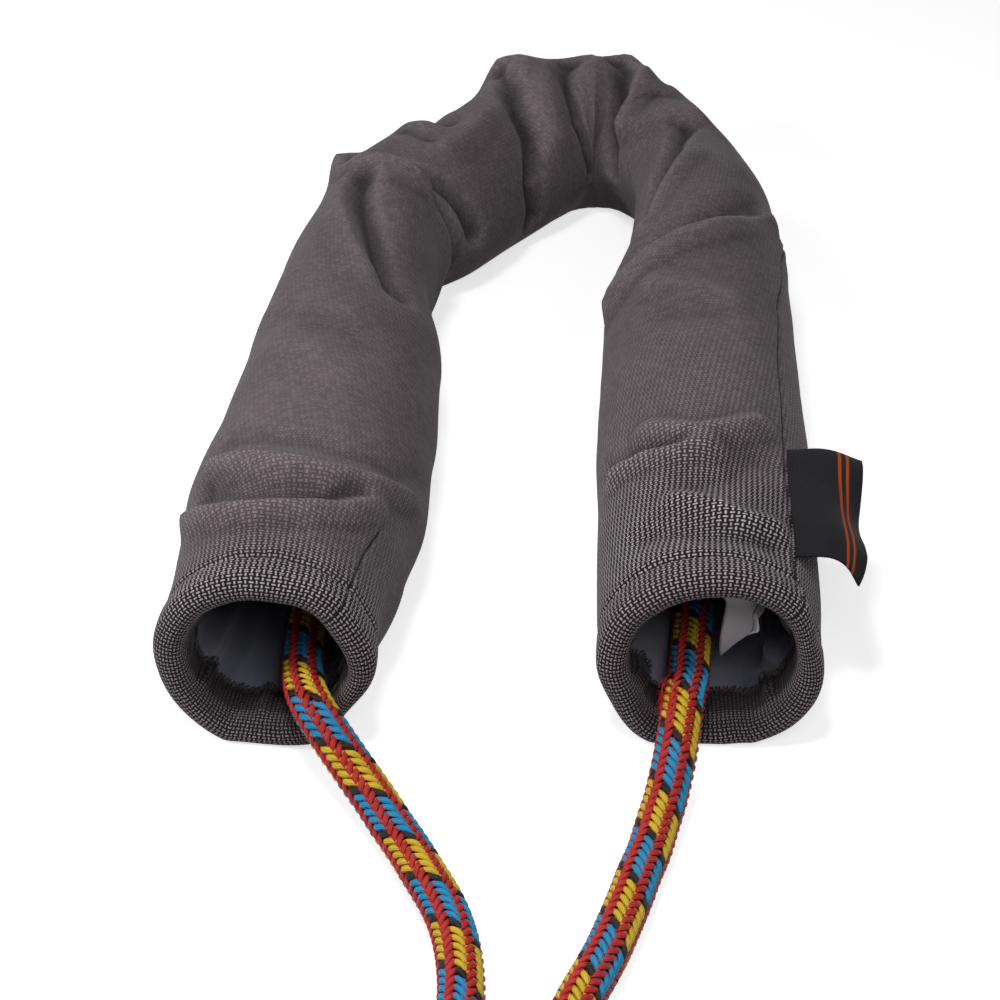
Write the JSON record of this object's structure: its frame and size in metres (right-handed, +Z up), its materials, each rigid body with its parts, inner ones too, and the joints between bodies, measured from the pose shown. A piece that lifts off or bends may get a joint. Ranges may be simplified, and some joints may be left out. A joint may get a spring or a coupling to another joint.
{
  "type": "rope protector sleeve",
  "caption": "Padded fabric sleeve bent in a U round a rope, with turned hems, a smooth lining and flag labels; it guards the rope where it runs over an edge.",
  "frame": {"origin": "on the table, below the middle of the sleeve and its side label", "axes": "+Z up from the table, +Y along the legs towards the closed end of the U, +X towards the leg with the side label"},
  "size_m": [0.1939, 0.5127, 0.0584],
  "materials": {
    "cover_weave": "coarse two-tone synthetic weave, matt",
    "padding_foam": "soft padding, matt",
    "lining_cloth": "smooth navy lining cloth with a faint sheen",
    "black_thread": "bonded sewing thread",
    "side_label_weave": "dense woven tape, plain",
    "care_label_satin": "thin white satin",
    "rope_sheath": "braided sheath, red with yellow, blue and black strands",
    "rope_end_shrink": "black shrink tube over the sealed end"
  },
  "bodies": {
    "sleeve": {"outer_cover": "cover_weave", "padding": "padding_foam", "lining": "lining_cloth", "cover_seam_overlock": "black_thread", "lining_seam_stitch": "black_thread", "hem_stitch_left": "black_thread", "hem_stitch_right": "black_thread", "facing_overlock_left": "black_thread", "facing_overlock_right": "black_thread", "rope_in_sleeve": "rope_sheath", "rope_tail_left": "rope_sheath", "rope_tail_right": "rope_sheath", "rope_end_left": "rope_end_shrink", "rope_end_right": "rope_end_shrink"},
    "side_flag": {"side_label": "side_label_weave"},
    "care_flag": {"care_label": "care_label_satin"}
  },
  "joints": [
    {"name": "side_label_flap", "type": "hinge", "parent": "sleeve", "child": "side_flag", "pos_m": [0.0746, -0.12427, 0.04801], "axis": [-0.0453, -0.9989, 0.0075], "range_deg": [-30, 120], "stiffness_Nm_per_rad": 0.002},
    {"name": "care_label_swing", "type": "hinge", "parent": "sleeve", "child": "care_flag", "pos_m": [0.06025, -0.15337, 0.04582], "axis": [-0.8955, -0.2937, 0.3343], "range_deg": [-50, 20]}
  ]
}
